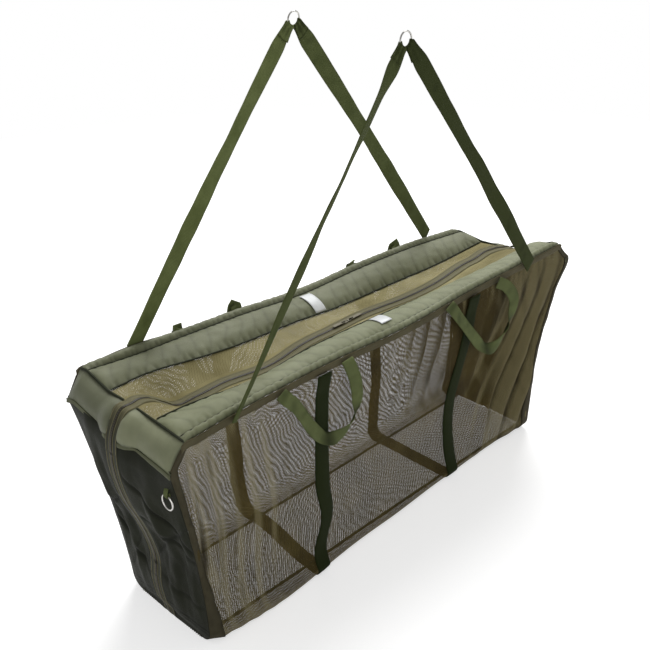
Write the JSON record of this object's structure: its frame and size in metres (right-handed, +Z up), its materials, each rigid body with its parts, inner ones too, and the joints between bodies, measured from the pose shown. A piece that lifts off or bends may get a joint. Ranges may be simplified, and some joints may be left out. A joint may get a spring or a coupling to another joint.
{
  "type": "weigh sling",
  "caption": "Floating weigh and retention sling: a long zip-closed mesh bag between padded floats, carried by two V straps with steel rings.",
  "frame": {"origin": "centre of the footprint on the ground that the bag stands on", "axes": "+X along the bag's length towards the far end, -Y the front wall, +Z up"},
  "size_m": [1.314, 0.3687, 1.2222],
  "materials": {
    "float_cloth": "coated grey-green float cover cloth, satin",
    "dark_cloth": "plain dark olive cloth, matt",
    "mesh_cloth": "open olive-brown mesh, see-through",
    "webbing": "woven olive-green webbing",
    "zip_tape": "woven zip tape with a dark coil",
    "foam": "closed-cell foam",
    "steel": "polished nickel-plated steel",
    "pale_patch": "pale retro-reflective tape, blank"
  },
  "bodies": {
    "base": {"base_panel": "mesh_cloth", "near_base_band": "webbing", "near_zip_stop": "steel", "far_base_band": "webbing", "far_zip_stop": "steel"},
    "front_half": {"front_float_cover": "float_cloth", "front_float_outer_foam": "foam", "front_float_inner_foam": "foam", "front_mesh_wall": "mesh_cloth", "front_top_binding": "webbing", "front_top_flap": "mesh_cloth", "front_zip_tape": "zip_tape", "front_blank_patch": "pale_patch", "near_front_end_pad_cover": "float_cloth", "near_front_end_pad_foam": "foam", "near_front_end_wall": "dark_cloth", "near_front_corner_tape": "webbing", "near_front_body_band": "webbing", "far_front_end_pad_cover": "float_cloth", "far_front_end_pad_foam": "foam", "far_front_end_wall": "dark_cloth", "far_front_corner_tape": "webbing", "far_front_body_band": "webbing", "corner_ring_tab": "webbing"},
    "near_front_handle_body": {"near_front_handle": "webbing"},
    "front_strap_v": {"near_front_strap": "webbing", "far_front_strap": "webbing"},
    "far_front_handle_body": {"far_front_handle": "webbing"},
    "front_ring_body": {"front_lifting_ring": "steel"},
    "back_half": {"back_float_cover": "float_cloth", "back_float_outer_foam": "foam", "back_float_inner_foam": "foam", "back_mesh_wall": "mesh_cloth", "back_top_binding": "webbing", "back_top_flap": "mesh_cloth", "back_zip_tape": "zip_tape", "back_blank_patch": "pale_patch", "near_back_end_pad_cover": "float_cloth", "near_back_end_pad_foam": "foam", "near_back_end_wall": "dark_cloth", "near_back_corner_tape": "webbing", "near_back_body_band": "webbing", "far_back_end_pad_cover": "float_cloth", "far_back_end_pad_foam": "foam", "far_back_end_wall": "dark_cloth", "far_back_corner_tape": "webbing", "far_back_body_band": "webbing"},
    "near_back_handle_body": {"near_back_handle": "webbing"},
    "back_strap_v": {"near_back_strap": "webbing", "far_back_strap": "webbing"},
    "far_back_handle_body": {"far_back_handle": "webbing"},
    "back_ring_body": {"back_lifting_ring": "steel"},
    "corner_ring_body": {"corner_ring": "steel"},
    "near_slider_body": {"near_zip_slider": "steel"},
    "near_pull_body": {"near_zip_pull": "steel"},
    "far_slider_body": {"far_zip_slider": "steel"},
    "far_pull_body": {"far_zip_pull": "steel"}
  },
  "joints": [
    {"name": "front_half_opens", "type": "hinge", "parent": "base", "child": "front_half", "pos_m": [0, -0.11, 0], "axis": [1, 0, 0], "range_deg": [0, 25]},
    {"name": "front_strap_swings", "type": "hinge", "parent": "front_half", "child": "front_strap_v", "pos_m": [0, -0.18333, 0.553], "axis": [-1, 0, 0], "range_deg": [-140, 16]},
    {"name": "front_ring_turns", "type": "hinge", "parent": "front_strap_v", "child": "front_ring_body", "pos_m": [0, -0.1745, 1.20395], "axis": [0, 1, -0.0087], "continuous": true},
    {"name": "near_front_handle_swings", "type": "hinge", "parent": "front_half", "child": "near_front_handle_body", "pos_m": [-0.25, -0.18333, 0.545], "axis": [-1, 0, 0], "range_deg": [0, 160]},
    {"name": "far_front_handle_swings", "type": "hinge", "parent": "front_half", "child": "far_front_handle_body", "pos_m": [0.25, -0.18333, 0.545], "axis": [-1, 0, 0], "range_deg": [0, 160]},
    {"name": "back_half_opens", "type": "hinge", "parent": "base", "child": "back_half", "pos_m": [0, 0.11, 0], "axis": [-1, 0, 0], "range_deg": [0, 25]},
    {"name": "back_strap_swings", "type": "hinge", "parent": "back_half", "child": "back_strap_v", "pos_m": [0, 0.18333, 0.54885], "axis": [0.9987, 0, -0.0503], "range_deg": [-143, 14]},
    {"name": "back_ring_turns", "type": "hinge", "parent": "back_strap_v", "child": "back_ring_body", "pos_m": [-0.00005, 0.14594, 1.20294], "axis": [0.0026, 0.9986, 0.0523], "continuous": true},
    {"name": "near_back_handle_swings", "type": "hinge", "parent": "back_half", "child": "near_back_handle_body", "pos_m": [-0.25, 0.18333, 0.55124], "axis": [1, 0, 0], "range_deg": [0, 160]},
    {"name": "far_back_handle_swings", "type": "hinge", "parent": "back_half", "child": "far_back_handle_body", "pos_m": [0.25, 0.18333, 0.52989], "axis": [1, 0, 0], "range_deg": [0, 160]},
    {"name": "near_slider_runs", "type": "slide", "parent": "front_half", "child": "near_slider_body", "axis": [-1, 0, 0], "range_m": [0, 0.45]},
    {"name": "near_pull_flips", "type": "hinge", "parent": "near_slider_body", "child": "near_pull_body", "pos_m": [-0.0125, 0, 0.5231], "axis": [0, 1, 0], "range_deg": [0, 150]},
    {"name": "far_slider_runs", "type": "slide", "parent": "front_half", "child": "far_slider_body", "axis": [1, 0, 0], "range_m": [0, 0.45]},
    {"name": "far_pull_flips", "type": "hinge", "parent": "far_slider_body", "child": "far_pull_body", "pos_m": [0.0125, 0, 0.5231], "axis": [0, -1, 0], "range_deg": [0, 150]},
    {"name": "corner_ring_swings", "type": "hinge", "parent": "front_half", "child": "corner_ring_body", "pos_m": [-0.65028, -0.14555, 0.445], "axis": [0, 1, 0], "range_deg": [0, 120]}
  ]
}
